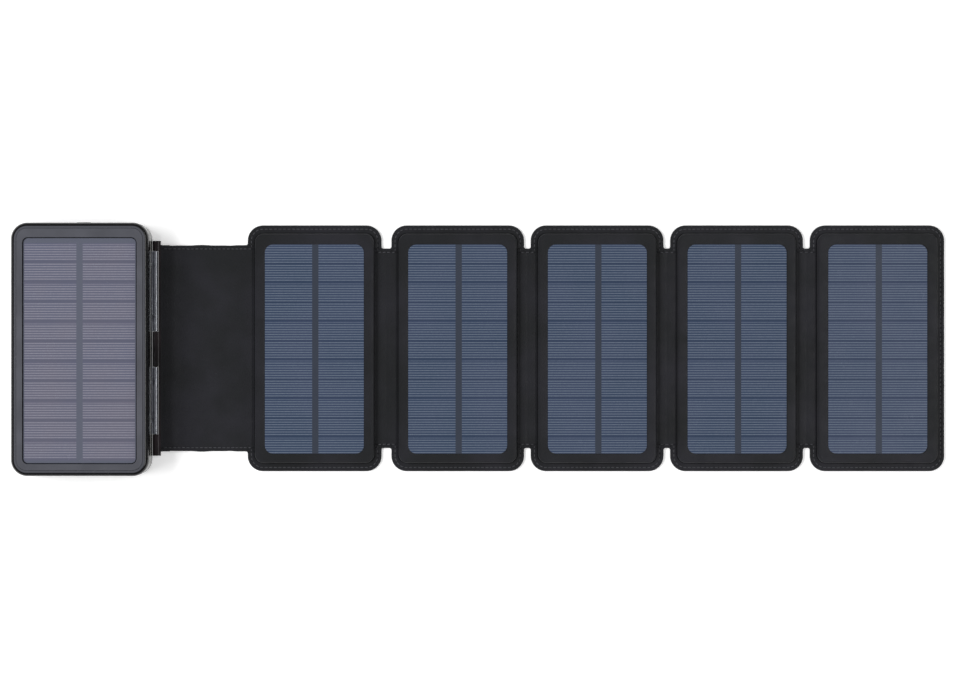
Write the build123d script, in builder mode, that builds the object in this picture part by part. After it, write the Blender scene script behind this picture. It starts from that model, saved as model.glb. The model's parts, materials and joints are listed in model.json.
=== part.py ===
"""Folding solar phone charger, laid out flat on a table.

A flat power bank stands at the -X end. A steel hinge on its +X side carries a leatherette flap,
and five leatherette panels with solar sheets follow the flap, joined by narrow fold strips.
Millimetres, +Z up, +X along the row of panels. The origin is on the table, under the middle of
the row. Every panel's solar side faces up. The row folds like an accordion on panel 1, and the
flap then carries the stack over the bank's solar side.
"""

import os

from build123d import *

# ---------------------------------------------------------------- driving dimensions
# power bank
bank_w, bank_l = 84.5, 155.4  # along X and Y
bank_x = -245.25  # middle of the bank
bank_right = bank_x + bank_w / 2
bank_end = bank_l / 2  # the end wall with the sockets faces +Y
bank_corner_r = 10.0
shell_wall = 2.0
shell_bottom, split_z, shell_top = 0.8, 9.5, 23.8
base_fillet, rim_fillet, split_chamfer = 1.3, 3.0, 0.2
floor_t = 1.6
ceiling_z, ceiling_t = 19.4, 1.2
ledge_z = ceiling_z + ceiling_t
bezel_top = 24.0
bezel_inset, bezel_gap = 3.6, 0.15
bezel_outer_fillet, bezel_inner_fillet = 0.3, 0.4
bezel_corner_r = bank_corner_r - bezel_inset
window_w, window_l, window_r = 69.2, 137.9, 3.0
window_y = -0.8
window_groove = 0.4
sheet_top, sheet_chamfer = 22.9, 0.2
seal_w, seal_depth = 0.9, 0.6
post_x, post_y, post_r = 36.0, 70.0, 3.0
screw_head_t, screw_sink, screw_length = 1.4, 0.6, 12.0
driver_slot_l, driver_slot_w, driver_slot_t = 2.4, 0.5, 0.8
screw_r, screw_clear_r, screw_head_r, head_clear = 1.0, 1.2, 1.9, 0.2
foot_x, foot_y, foot_r, foot_t = 28.0, 60.0, 5.0, 1.2
foot_gap, foot_fillet = 0.1, 0.3

# circuit board and sockets at the +Y end, measured from the middle of the bank
board_w, board_y0, board_y1, board_t = 64.0, 52.0, 75.0, 1.6
board_z = split_z - board_t
usb_a_w, usb_a_h, usb_a_depth, usb_a_wall = 13.2, 5.7, 14.0, 0.35
usb_a_back_t, usb_a_tongue_gap, usb_a_tongue_up = 1.2, 4.4, 1.05
usb_a_tongue_w, usb_a_tongue_t, usb_a_r, usb_a_inner_r = 11.1, 1.84, 0.6, 0.3
usb_a_xs = {"usb_a_socket_left": -22.75, "usb_a_socket_right": 25.75}
usb_c_w, usb_c_h, usb_c_depth, usb_c_wall, usb_c_x = 9.0, 3.2, 7.5, 0.3, 13.75
usb_c_back_t, usb_c_tongue_gap, usb_c_tongue_w, usb_c_tongue_t = 0.8, 1.0, 6.7, 0.7
round_end = 0.05  # taken off a half-height radius, so that a flat is left on each end
socket_recess, socket_gap = 0.2, 0.15
button_w, button_h, button_x, button_z = 8.9, 3.6, 1.3, 12.4
button_proud, button_travel, button_gap = 0.5, 0.5, 0.15
button_fillet, flange_gap, flange_t, flange_out_w, flange_out_h = 0.3, 0.1, 0.8, 0.8, 0.5
switch_w, switch_h, switch_t, plunger_r, plunger_t = 6.0, 5.2, 3.0, 1.5, 0.6
led_count, led_pitch, led_x0, led_z, led_r = 4, 2.6, -13.75, 12.4, 0.8
led_w, led_t, led_h, led_back = 1.6, 0.8, 3.6, 2.4
pip_gap, guide_gap, guide_margin, guide_h, guide_t = 0.05, 0.1, 1.5, 2.6, 1.4

# batteries
pouch_w, pouch_l, pouch_t, pouch_y = 65.0, 120.0, 7.5, -13.0
pouch_corner_r, pouch_fillet, pad_margin = 2.0, 1.2, 4.0
pouch_zs = {"battery_pouch_lower": 2.7, "battery_pouch_upper": 10.5}

# hinge between the bank and the flap
hinge_x, hinge_z = -200.9, 2.4
pin_r, knuckle_clear = 0.8, 0.05
barrel_r, knuckle_r = 1.6, 1.9
hinge_y0, hinge_y1 = -65.8, 67.1
knuckle_spans = [(60.9, 67.1), (-10.8, 11.0), (-65.8, -52.6)]
barrel_spans = [(11.2, 60.7), (-52.4, -11.0)]
leaf_t, leaf_z0, leaf_z1, web_t = 0.8, 2.2, 8.6, 0.5
leaf_screw_ys = [52.0, 20.0, -20.0, -44.0]
leaf_gap_y, leaf_gap_z = 0.1, 0.05  # clearance of the leaf's recess, per side
leaf_screw_r, leaf_screw_head_r, leaf_screw_head_t, leaf_screw_l = 0.8, 1.5, 0.6, 4.2
leaf_hole_r, leaf_slot_l, leaf_slot_w, leaf_slot_t = 0.9, 2.0, 0.4, 0.35
screw_pad_w, screw_pad_l, screw_pad_in = 3.2, 5.0, 1.5
pin_end_gap, knuckle_fillet, knuckle_foot = 0.3, 1.0, 2.5
rail_x0, rail_x1, rail_z0, rail_z1 = -199.0, -197.8, 0.1, 3.4
rail_flange_x, rail_flange_t = -192.5, 0.5

# leatherette flap and panels
strip_y = 0.65  # the strip lies this far off the bank's middle line
back_t, front_t = 0.9, 0.8
leather_t = back_t + front_t
panel_t, panel_l, panel_r = 5.2, 152.3, 9.4
panel_edges = [(-144.0, -61.1), (-55.0, 27.2), (31.3, 113.6), (117.7, 200.0), (204.2, 287.5)]
fold_l, flap_l = 123.6, 127.8
flap_fold_x = -149.0
half_slit = 0.1  # each side of a fold line
raised_side, raised_end, raised_r = 4.5, 5.2, 5.5
cell_window_w, cell_window_l, cell_window_r, cell_window_y = 61.5, 129.6, 5.2, -0.45
stiffener_t, cell_pad_t, front_fillet = 2.0, 0.5, 0.9
strip_tuck = 1.0  # how far a fold strip runs in under the panel's own outline
fit_gap = 0.15
ribbon_w, ribbon_t, ribbon_y = 10.0, 0.3, 30.0
flap_ribbon_end = -160.0  # short of the part of the flap that bends

# fold lines: between panels they lie midway across the gap
fold_xs = [flap_fold_x] + [(a[1] + b[0]) / 2 for a, b in zip(panel_edges, panel_edges[1:])]

os.makedirs("parts", exist_ok=True)


def save(part, name):
    """Labels a finished piece and writes its STEP file."""
    part.label = name
    export_step(part, f"parts/{name}.step")


def mid(low, high):
    return (low + high) / 2


# ---------------------------------------------------------------- power bank shells
def bank_outline(inset, radius):
    """The bank's rounded rectangle, for use inside a sketch."""
    with Locations((bank_x, 0)):
        RectangleRounded(bank_w - 2 * inset, bank_l - 2 * inset, radius)


def bolt_places():
    """The four corner posts, from the middle of the bank."""
    return [(bank_x + sx * post_x, sy * post_y) for sx in (-1, 1) for sy in (-1, 1)]


def port_cuts():
    """Openings in the end wall for sockets, button and light pips: (x, z, width, height)."""
    grow = 2 * socket_gap
    cuts = [(x, split_z + usb_a_h / 2, usb_a_w + grow, usb_a_h + grow) for x in usb_a_xs.values()]
    cuts.append((usb_c_x, split_z + usb_c_h / 2, usb_c_w + grow, usb_c_h + grow))
    cuts.append((button_x, button_z, button_w + 2 * button_gap, button_h + 2 * button_gap))
    return cuts


inner_r = bank_corner_r - shell_wall
leaf_y0, leaf_y1 = barrel_spans[1][0], barrel_spans[0][1]
grommet_y, grommet_z, grommet_r = 0.0, 6.4, 1.5
grommet_lip, lead_pitch, lead_hole_r = 0.8, 1.2, 0.5

with BuildPart() as bottom_shell:
    with BuildSketch(Plane.XY.offset(shell_bottom)):
        bank_outline(0, bank_corner_r)
    extrude(amount=split_z - shell_bottom)
    fillet(bottom_shell.faces().sort_by(Axis.Z)[0].edges(), base_fillet)
    chamfer(bottom_shell.faces().sort_by(Axis.Z)[-1].edges(), split_chamfer)
    with BuildSketch(Plane.XY.offset(shell_bottom + floor_t)):
        bank_outline(shell_wall, inner_r)
    extrude(amount=split_z, mode=Mode.SUBTRACT)
    # corner posts, and pads behind the hinge leaf's screws
    with BuildSketch(Plane.XY.offset(shell_bottom + floor_t)):
        with Locations(*bolt_places()):
            Circle(post_r)
    extrude(amount=split_z - shell_bottom - floor_t)
    with BuildSketch(Plane.XY.offset(shell_bottom + floor_t)):
        with Locations(*[(bank_right - shell_wall - screw_pad_in, y) for y in leaf_screw_ys]):
            Rectangle(screw_pad_w, screw_pad_l)
    extrude(amount=leaf_z1 - shell_bottom - floor_t)
    # seal groove in the rim
    with BuildSketch(Plane.XY.offset(split_z - seal_depth)):
        bank_outline(shell_wall / 2 - seal_w / 2, bank_corner_r - shell_wall / 2 + seal_w / 2)
        with Locations((bank_x, 0)):
            RectangleRounded(
                bank_w - shell_wall - seal_w,
                bank_l - shell_wall - seal_w,
                bank_corner_r - shell_wall / 2 - seal_w / 2,
                mode=Mode.SUBTRACT,
            )
    extrude(amount=seal_depth, mode=Mode.SUBTRACT)
    # recess for the hinge leaf in the side wall
    with BuildSketch(Plane.YZ.offset(bank_right - leaf_t)):
        with Locations((mid(leaf_y0, leaf_y1), mid(leaf_z0, leaf_z1))):
            Rectangle(leaf_y1 - leaf_y0 + 2 * leaf_gap_y, leaf_z1 - leaf_z0 + 2 * leaf_gap_z)
    extrude(amount=leaf_t, mode=Mode.SUBTRACT)
    with BuildSketch(Plane.YZ.offset(bank_right - leaf_screw_l)):
        with Locations(*[(y, grommet_z) for y in leaf_screw_ys]):
            Circle(leaf_screw_r)
    extrude(amount=leaf_screw_l, mode=Mode.SUBTRACT)
    with BuildSketch(Plane.YZ.offset(bank_right - shell_wall)):
        with Locations((grommet_y, grommet_z)):
            Circle(grommet_r)
    extrude(amount=shell_wall, mode=Mode.SUBTRACT)
    # feet pockets, screw holes and counterbores in the floor
    with BuildSketch(Plane.XY.offset(shell_bottom)):
        with Locations((bank_x, 0)):
            with GridLocations(2 * foot_x, 2 * foot_y, 2, 2):
                Circle(foot_r)
    extrude(amount=foot_t - shell_bottom, mode=Mode.SUBTRACT)
    with BuildSketch(Plane.XY.offset(shell_bottom)):
        with Locations(*bolt_places()):
            Circle(screw_clear_r)
    extrude(amount=split_z, mode=Mode.SUBTRACT)
    with BuildSketch(Plane.XY.offset(shell_bottom)):
        with Locations(*bolt_places()):
            Circle(screw_head_r + head_clear)
    extrude(amount=screw_sink + screw_head_t, mode=Mode.SUBTRACT)
save(bottom_shell.part, "bottom_shell")

with BuildPart() as shell_seal:
    with BuildSketch(Plane.XY.offset(split_z - seal_depth)):
        bank_outline(shell_wall / 2 - seal_w / 2, bank_corner_r - shell_wall / 2 + seal_w / 2)
        with Locations((bank_x, 0)):
            RectangleRounded(
                bank_w - shell_wall - seal_w,
                bank_l - shell_wall - seal_w,
                bank_corner_r - shell_wall / 2 - seal_w / 2,
                mode=Mode.SUBTRACT,
            )
    extrude(amount=seal_depth)
save(shell_seal.part, "shell_seal")

bezel_w, bezel_l = bank_w - 2 * bezel_inset, bank_l - 2 * bezel_inset

with BuildPart() as top_shell:
    with BuildSketch(Plane.XY.offset(split_z)):
        bank_outline(0, bank_corner_r)
    extrude(amount=shell_top - split_z)
    fillet(top_shell.faces().sort_by(Axis.Z)[-1].edges(), rim_fillet)
    chamfer(top_shell.faces().sort_by(Axis.Z)[0].edges(), split_chamfer)
    with BuildSketch(Plane.XY.offset(split_z)):
        bank_outline(shell_wall, inner_r)
    extrude(amount=ceiling_z - split_z, mode=Mode.SUBTRACT)
    # tray for the bezel and the solar sheet
    with BuildSketch(Plane.XY.offset(ledge_z)):
        with Locations((bank_x, 0)):
            RectangleRounded(
                bezel_w + 2 * bezel_gap, bezel_l + 2 * bezel_gap, bezel_corner_r + bezel_gap
            )
    extrude(amount=shell_top, mode=Mode.SUBTRACT)
    with BuildSketch(Plane.XY.offset(split_z)):
        with Locations(*bolt_places()):
            Circle(post_r)
            Circle(screw_r, mode=Mode.SUBTRACT)
    extrude(amount=ceiling_z - split_z)
    # sockets, button and light pips come out through the end wall
    for x, z, w, h in port_cuts():
        with BuildSketch(Plane.XZ.offset(-bank_end)):
            with Locations((bank_x + x, z)):
                Rectangle(w, h)
        extrude(amount=shell_wall, mode=Mode.SUBTRACT)
    with BuildSketch(Plane.XZ.offset(-bank_end)):
        with Locations(*[(bank_x + led_x0 + i * led_pitch, led_z) for i in range(led_count)]):
            Circle(led_r + pip_gap)
    extrude(amount=shell_wall, mode=Mode.SUBTRACT)
save(top_shell.part, "top_shell")

with BuildPart() as bezel_frame:
    with BuildSketch(Plane.XY.offset(ledge_z)):
        with Locations((bank_x, 0)):
            RectangleRounded(bezel_w, bezel_l, bezel_corner_r)
        with Locations((bank_x, window_y)):
            RectangleRounded(
                window_w + 2 * window_groove,
                window_l + 2 * window_groove,
                window_r + window_groove,
                mode=Mode.SUBTRACT,
            )
    extrude(amount=bezel_top - ledge_z)
    top_wires = bezel_frame.faces().sort_by(Axis.Z)[-1].wires().sort_by(SortBy.LENGTH)
    inner_edges, outer_edges = top_wires[0].edges(), top_wires[-1].edges()
    fillet(outer_edges, bezel_outer_fillet)
    fillet(inner_edges, bezel_inner_fillet)
save(bezel_frame.part, "bezel_frame")

with BuildPart() as bank_solar_sheet:
    with BuildSketch(Plane.XY.offset(ledge_z)):
        with Locations((bank_x, window_y)):
            RectangleRounded(window_w, window_l, window_r)
    extrude(amount=sheet_top - ledge_z)
    chamfer(bank_solar_sheet.faces().sort_by(Axis.Z)[-1].edges(), sheet_chamfer)
save(bank_solar_sheet.part, "bank_solar_sheet")

with BuildPart() as rubber_feet:
    with BuildSketch(Plane.XY):
        with Locations((bank_x, 0)):
            with GridLocations(2 * foot_x, 2 * foot_y, 2, 2):
                Circle(foot_r - foot_gap)
    extrude(amount=foot_t)
    fillet(rubber_feet.edges().group_by(Axis.Z)[0], foot_fillet)
save(rubber_feet.part, "rubber_feet")

with BuildPart() as case_screws:
    with BuildSketch(Plane.XY.offset(shell_bottom + screw_sink)):
        with Locations(*bolt_places()):
            Circle(screw_head_r)
    extrude(amount=screw_head_t)
    with BuildSketch(Plane.XY.offset(shell_bottom + screw_sink + screw_head_t)):
        with Locations(*bolt_places()):
            Circle(screw_r)
    extrude(amount=screw_length)
    # crossed driver slots
    with BuildSketch(Plane.XY.offset(shell_bottom + screw_sink)):
        with Locations(*bolt_places()):
            Rectangle(driver_slot_l, driver_slot_w)
            Rectangle(driver_slot_w, driver_slot_l)
    extrude(amount=driver_slot_t, mode=Mode.SUBTRACT)
save(case_screws.part, "case_screws")

# ---------------------------------------------------------------- inside the bank
for name, z in pouch_zs.items():
    with BuildPart() as pouch:
        with BuildSketch(Plane.XY.offset(z)):
            with Locations((bank_x, pouch_y)):
                RectangleRounded(pouch_w, pouch_l, pouch_corner_r)
        extrude(amount=pouch_t)
        fillet(pouch.edges().group_by(Axis.Z)[0] + pouch.edges().group_by(Axis.Z)[-1], pouch_fillet)
    save(pouch.part, name)

pouch_end = pouch_y + pouch_l / 2
pad_z = pouch_zs["battery_pouch_upper"] + pouch_t
with BuildPart() as battery_pad:
    with BuildSketch(Plane.XY.offset(pad_z)):
        with Locations((bank_x, pouch_y)):
            RectangleRounded(pouch_w - 2 * pad_margin, pouch_l - 2 * pad_margin, pouch_corner_r)
    extrude(amount=ceiling_z - pad_z)
save(battery_pad.part, "battery_pad")

tab_w, tab_t, tab_reach, tab_drop = 6.0, 0.2, 6.0, 4.5
tab_xs, upper_tab_spread, tab_gap = (-8.0, 8.0), 2.2, 0.2
with BuildPart() as battery_tabs:
    for x in tab_xs:
        # the lower pouch's tabs pass under the board, the upper pouch's drop onto it
        with BuildSketch(Plane.XY.offset(board_z - tab_t)):
            with Locations((bank_x + x, pouch_end + tab_reach / 2)):
                Rectangle(tab_w, tab_reach)
        extrude(amount=tab_t)
        with BuildSketch(Plane.XY.offset(split_z)):
            with Locations((bank_x + upper_tab_spread * x, pouch_end + tab_gap + tab_reach / 2)):
                Rectangle(tab_w, tab_reach)
        extrude(amount=tab_t)
        with BuildSketch(Plane.XY.offset(split_z)):
            with Locations((bank_x + upper_tab_spread * x, pouch_end + tab_gap + tab_t / 2)):
                Rectangle(tab_w, tab_t)
        extrude(amount=tab_drop)
save(battery_tabs.part, "battery_tabs")

with BuildPart() as main_board:
    with BuildSketch(Plane.XY.offset(board_z)):
        with Locations((bank_x, mid(board_y0, board_y1))):
            Rectangle(board_w, board_y1 - board_y0)
    extrude(amount=board_t)
save(main_board.part, "main_board")

component_blocks = [  # x and y from the middle of the bank, then width, length, height
    (-24.0, 57.0, 7.0, 7.0, 3.2),
    (-4.5, 57.0, 5.0, 5.0, 0.9),
    (4.5, 57.5, 4.0, 4.0, 0.9),
    (25.0, 57.0, 7.0, 7.0, 3.2),
    (-13.0, 65.0, 3.0, 2.0, 1.2),
]
with BuildPart() as board_components:
    for x, y, w, l, h in component_blocks:
        with BuildSketch(Plane.XY.offset(split_z)):
            with Locations((bank_x + x, y)):
                Rectangle(w, l)
        extrude(amount=h)
save(board_components.part, "board_components")

mouth_y = bank_end - socket_recess
for name, x in usb_a_xs.items():
    with BuildPart() as socket:
        with BuildSketch(Plane.XZ.offset(-mouth_y)):
            with Locations((bank_x + x, split_z + usb_a_h / 2)):
                RectangleRounded(usb_a_w, usb_a_h, usb_a_r)
        extrude(amount=usb_a_depth)
        with BuildSketch(Plane.XZ.offset(-mouth_y)):
            with Locations((bank_x + x, split_z + usb_a_h / 2)):
                RectangleRounded(usb_a_w - 2 * usb_a_wall, usb_a_h - 2 * usb_a_wall, usb_a_inner_r)
        extrude(amount=usb_a_depth - usb_a_back_t, mode=Mode.SUBTRACT)
        # contact tongue, in the upper half of the mouth
        with BuildSketch(Plane.XZ.offset(-(mouth_y - usb_a_tongue_gap))):
            with Locations((bank_x + x, split_z + usb_a_h / 2 + usb_a_tongue_up)):
                Rectangle(usb_a_tongue_w, usb_a_tongue_t)
        extrude(amount=usb_a_depth - usb_a_tongue_gap - usb_a_back_t / 2)
    save(socket.part, name)

with BuildPart() as usb_c_socket:
    with BuildSketch(Plane.XZ.offset(-mouth_y)):
        with Locations((bank_x + usb_c_x, split_z + usb_c_h / 2)):
            RectangleRounded(usb_c_w, usb_c_h, usb_c_h / 2 - round_end)
    extrude(amount=usb_c_depth)
    with BuildSketch(Plane.XZ.offset(-mouth_y)):
        with Locations((bank_x + usb_c_x, split_z + usb_c_h / 2)):
            inner_h = usb_c_h - 2 * usb_c_wall
            RectangleRounded(usb_c_w - 2 * usb_c_wall, inner_h, inner_h / 2 - round_end)
    extrude(amount=usb_c_depth - usb_c_back_t, mode=Mode.SUBTRACT)
    with BuildSketch(Plane.XZ.offset(-(mouth_y - usb_c_tongue_gap))):
        with Locations((bank_x + usb_c_x, split_z + usb_c_h / 2)):
            Rectangle(usb_c_tongue_w, usb_c_tongue_t)
    extrude(amount=usb_c_depth - usb_c_tongue_gap - usb_c_back_t / 2)
save(usb_c_socket.part, "usb_c_socket")

button_flange_y = bank_end - shell_wall - flange_gap
with BuildPart() as power_button:
    with BuildSketch(Plane.XZ.offset(-(bank_end + button_proud))):
        with Locations((bank_x + button_x, button_z)):
            RectangleRounded(button_w, button_h, button_h / 2 - round_end)
    extrude(amount=bank_end + button_proud - button_flange_y)
    fillet(power_button.edges().group_by(Axis.Y)[-1], button_fillet)
    with BuildSketch(Plane.XZ.offset(-button_flange_y)):
        with Locations((bank_x + button_x, button_z)):
            Rectangle(button_w + 2 * flange_out_w, button_h + 2 * flange_out_h)
    extrude(amount=flange_t)
save(power_button.part, "power_button")

switch_face_y = button_flange_y - flange_t - button_travel - flange_gap
with BuildPart() as tact_switch:
    with BuildSketch(Plane.XZ.offset(-(switch_face_y - plunger_t))):
        with Locations((bank_x + button_x, split_z + switch_h / 2)):
            Rectangle(switch_w, switch_h)
    extrude(amount=switch_t)
    with BuildSketch(Plane.XZ.offset(-switch_face_y)):
        with Locations((bank_x + button_x, button_z)):
            Circle(plunger_r)
    extrude(amount=plunger_t)
save(tact_switch.part, "tact_switch")

guide_mid_x = bank_x + led_x0 + led_pitch * (led_count - 1) / 2
guide_w = led_pitch * (led_count - 1) + 2 * guide_margin
with BuildPart() as light_guide:
    with BuildSketch(Plane.XZ.offset(-bank_end)):
        with Locations(*[(bank_x + led_x0 + i * led_pitch, led_z) for i in range(led_count)]):
            Circle(led_r)
    extrude(amount=shell_wall + guide_gap)
    with BuildSketch(Plane.XZ.offset(-(bank_end - shell_wall - guide_gap))):
        with Locations((guide_mid_x, led_z)):
            Rectangle(guide_w, guide_h)
    extrude(amount=guide_t)
save(light_guide.part, "light_guide")

with BuildPart() as indicator_leds:
    with BuildSketch(Plane.XY.offset(split_z)):
        for i in range(led_count):
            with Locations((bank_x + led_x0 + i * led_pitch, bank_end - shell_wall - led_back)):
                Rectangle(led_w, led_t)
    extrude(amount=led_h)
save(indicator_leds.part, "indicator_leds")

# ---------------------------------------------------------------- hinge
with BuildPart() as hinge_leaf:
    # plate in the side wall's recess, with a narrow web from its lower edge to each barrel
    with BuildSketch(Plane.YZ.offset(bank_right - leaf_t)):
        with Locations((mid(leaf_y0, leaf_y1), mid(leaf_z0, leaf_z1))):
            Rectangle(leaf_y1 - leaf_y0, leaf_z1 - leaf_z0)
    extrude(amount=leaf_t)
    for y0, y1 in barrel_spans:
        with BuildSketch(Plane.XZ.offset(-y1)):
            with Locations((hinge_x, hinge_z)):
                Circle(barrel_r)
            with Locations((mid(bank_right, hinge_x), leaf_z0 + web_t / 2)):
                Rectangle(hinge_x - bank_right, web_t)
            with Locations((hinge_x, hinge_z)):
                Circle(pin_r, mode=Mode.SUBTRACT)
        extrude(amount=y1 - y0)
    with BuildSketch(Plane.YZ.offset(bank_right - leaf_t)):
        with Locations(*[(y, grommet_z) for y in leaf_screw_ys]):
            Circle(leaf_hole_r)
        with Locations((grommet_y, grommet_z)):
            Circle(grommet_r)
    extrude(amount=leaf_t, mode=Mode.SUBTRACT)
save(hinge_leaf.part, "hinge_leaf")

with BuildPart() as leaf_screws:
    with BuildSketch(Plane.YZ.offset(bank_right)):
        with Locations(*[(y, grommet_z) for y in leaf_screw_ys]):
            Circle(leaf_screw_head_r)
    extrude(amount=leaf_screw_head_t)
    with BuildSketch(Plane.YZ.offset(bank_right - leaf_screw_l)):
        with Locations(*[(y, grommet_z) for y in leaf_screw_ys]):
            Circle(leaf_screw_r)
    extrude(amount=leaf_screw_l)
    with BuildSketch(Plane.YZ.offset(bank_right + leaf_screw_head_t - leaf_slot_t)):
        with Locations(*[(y, grommet_z) for y in leaf_screw_ys]):
            Rectangle(leaf_slot_l, leaf_slot_w)
            Rectangle(leaf_slot_w, leaf_slot_l)
    extrude(amount=leaf_slot_t, mode=Mode.SUBTRACT)
save(leaf_screws.part, "hinge_leaf_screws")

with BuildPart() as hinge_pin:
    with BuildSketch(Plane.XZ.offset(-(hinge_y1 - pin_end_gap))):
        with Locations((hinge_x, hinge_z)):
            Circle(pin_r)
    extrude(amount=hinge_y1 - hinge_y0 - 2 * pin_end_gap)
save(hinge_pin.part, "hinge_pin")

with BuildPart() as lead_grommet:
    with BuildSketch(Plane.YZ.offset(bank_right - shell_wall)):
        with Locations((grommet_y, grommet_z)):
            Circle(grommet_r)
    extrude(amount=shell_wall)
    with BuildSketch(Plane.YZ.offset(bank_right - shell_wall - grommet_lip)):
        with Locations((grommet_y, grommet_z)):
            Circle(grommet_r + grommet_lip)
    extrude(amount=grommet_lip)
    with BuildSketch(Plane.YZ.offset(bank_right - shell_wall - grommet_lip)):
        with Locations(*[(grommet_y + side * lead_pitch / 2, grommet_z) for side in (-1, 1)]):
            Circle(lead_hole_r)
    extrude(amount=shell_wall + grommet_lip, mode=Mode.SUBTRACT)
save(lead_grommet.part, "lead_grommet")

lead_r, lead_gap, lead_bend = 0.5, 0.02, 1.5
lead_x = bank_x + pouch_w / 2 + 2.5
lead_in, lead_rise_y, lead_top_y, lead_end_y, lead_end_x = 0.6, 44.0, 49.0, 55.0, 4.5
with BuildPart() as solar_leads:
    for dy in (-lead_pitch / 2, lead_pitch / 2):
        corners = [
            (bank_right - shell_wall + lead_in, grommet_y + dy, grommet_z),
            (lead_x + dy, grommet_y + dy, grommet_z),
            (lead_x + dy, lead_rise_y, grommet_z),
            (lead_x + dy, lead_top_y, split_z + lead_r),
            (lead_x + dy - lead_end_x, lead_end_y, split_z + lead_r),
        ]
        with BuildLine() as route:
            FilletPolyline(*corners, radius=lead_bend)
        with BuildSketch(Plane(origin=corners[0], z_dir=(-1, 0, 0))):
            Circle(lead_r - lead_gap)
        sweep(path=route.wire())
save(solar_leads.part, "solar_leads")

with BuildPart() as hinge_rail:
    # spine beside the barrels, and a flange under the flap's edge
    with BuildSketch(Plane.XZ.offset(-hinge_y1)):
        with Locations((mid(rail_x0, rail_x1), mid(rail_z0, rail_z1))):
            Rectangle(rail_x1 - rail_x0, rail_z1 - rail_z0)
    extrude(amount=hinge_y1 - hinge_y0)
    with BuildSketch(Plane.XZ.offset(-(strip_y + flap_l / 2))):
        with Locations((mid(rail_x1, rail_flange_x), rail_z0 + rail_flange_t / 2)):
            Rectangle(rail_flange_x - rail_x1, rail_flange_t)
    extrude(amount=flap_l)
    for y0, y1 in knuckle_spans:
        with BuildSketch(Plane.XZ.offset(-y1)) as knuckle:
            with Locations((hinge_x, hinge_z)):
                Circle(knuckle_r)
            with Locations((hinge_x + knuckle_foot / 2, hinge_z)):
                Rectangle(knuckle_foot, 2 * knuckle_r)
            fillet(knuckle.vertices().group_by(Axis.X)[-1], knuckle_fillet)
            with Locations((hinge_x, hinge_z)):
                Circle(pin_r + knuckle_clear, mode=Mode.SUBTRACT)
        extrude(amount=y1 - y0)
save(hinge_rail.part, "hinge_rail")

# ---------------------------------------------------------------- leatherette flap
flange_top = rail_z0 + rail_flange_t
flap_end = flap_fold_x - half_slit
flap_crest, flap_foot = 0.5, 8.0  # past the flange, where the flap starts down and where it lands


def flap_layer(z0, z1, end=flap_end):
    """One layer of the flap as an XZ outline: it lies on the rail's flange, then on the table."""
    lift = flange_top
    crest, foot = rail_flange_x + flap_crest, rail_flange_x + flap_foot
    Polygon(
        (rail_x1, z0 + lift),
        (crest, z0 + lift),
        (foot, z0),
        (end, z0),
        (end, z1),
        (foot, z1),
        (crest, z1 + lift),
        (rail_x1, z1 + lift),
        align=None,
    )


ribbon_z0 = back_t - ribbon_t
with BuildPart() as flap_ribbon:
    with BuildSketch(Plane.XZ.offset(-(strip_y + ribbon_y + ribbon_w / 2))):
        flap_layer(ribbon_z0, back_t, flap_ribbon_end)
    extrude(amount=ribbon_w)
save(flap_ribbon.part, "flap_ribbon")

with BuildPart() as flap_back:
    with BuildSketch(Plane.XZ.offset(-(strip_y + flap_l / 2))):
        flap_layer(0, back_t)
    extrude(amount=flap_l)
    with BuildSketch(Plane.XZ.offset(-(strip_y + ribbon_y + ribbon_w / 2))):
        flap_layer(ribbon_z0, back_t, flap_ribbon_end)
    extrude(amount=ribbon_w, mode=Mode.SUBTRACT)
save(flap_back.part, "flap_back_cover")

with BuildPart() as flap_front:
    with BuildSketch(Plane.XZ.offset(-(strip_y + flap_l / 2))):
        flap_layer(back_t, leather_t)
    extrude(amount=flap_l)
save(flap_front.part, "flap_front_cover")


# ---------------------------------------------------------------- solar panels
def panel_span(index):
    """A panel's own edges, and its fold lines with the slit taken off (or its edge, at the end)."""
    left, right = panel_edges[index]
    last = index == len(panel_edges) - 1
    fold_left = fold_xs[index] + half_slit
    fold_right = right if last else fold_xs[index + 1] - half_slit
    return left, right, fold_left, fold_right


def panel_outline(index):
    """A panel's rounded outline with half of each fold strip, for use inside a sketch."""
    left, right, fold_left, fold_right = panel_span(index)
    with Locations((mid(left, right), strip_y)):
        RectangleRounded(right - left, panel_l, panel_r)
    strip_l = flap_l if index == 0 else fold_l
    with Locations((mid(fold_left, left + strip_tuck), strip_y)):
        Rectangle(left + strip_tuck - fold_left, strip_l)
    if fold_right > right:
        with Locations((mid(right - strip_tuck, fold_right), strip_y)):
            Rectangle(fold_right - right + strip_tuck, fold_l)


def raised_outline(index, inset):
    """The stiffened middle of a panel, drawn in by inset."""
    left, right = panel_edges[index]
    with Locations((mid(left, right), strip_y)):
        RectangleRounded(
            right - left - 2 * (raised_side + inset),
            panel_l - 2 * (raised_end + inset),
            raised_r - inset,
        )


def ribbon_outline(index):
    """The flat lead in the back cover. It stays within the stiffened part of the panel."""
    left, right = panel_edges[index]
    start = left + raised_side
    end = mid(left, right) if index == len(panel_edges) - 1 else right - raised_side
    with Locations((mid(start, end), strip_y + ribbon_y)):
        Rectangle(end - start, ribbon_w)


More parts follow.
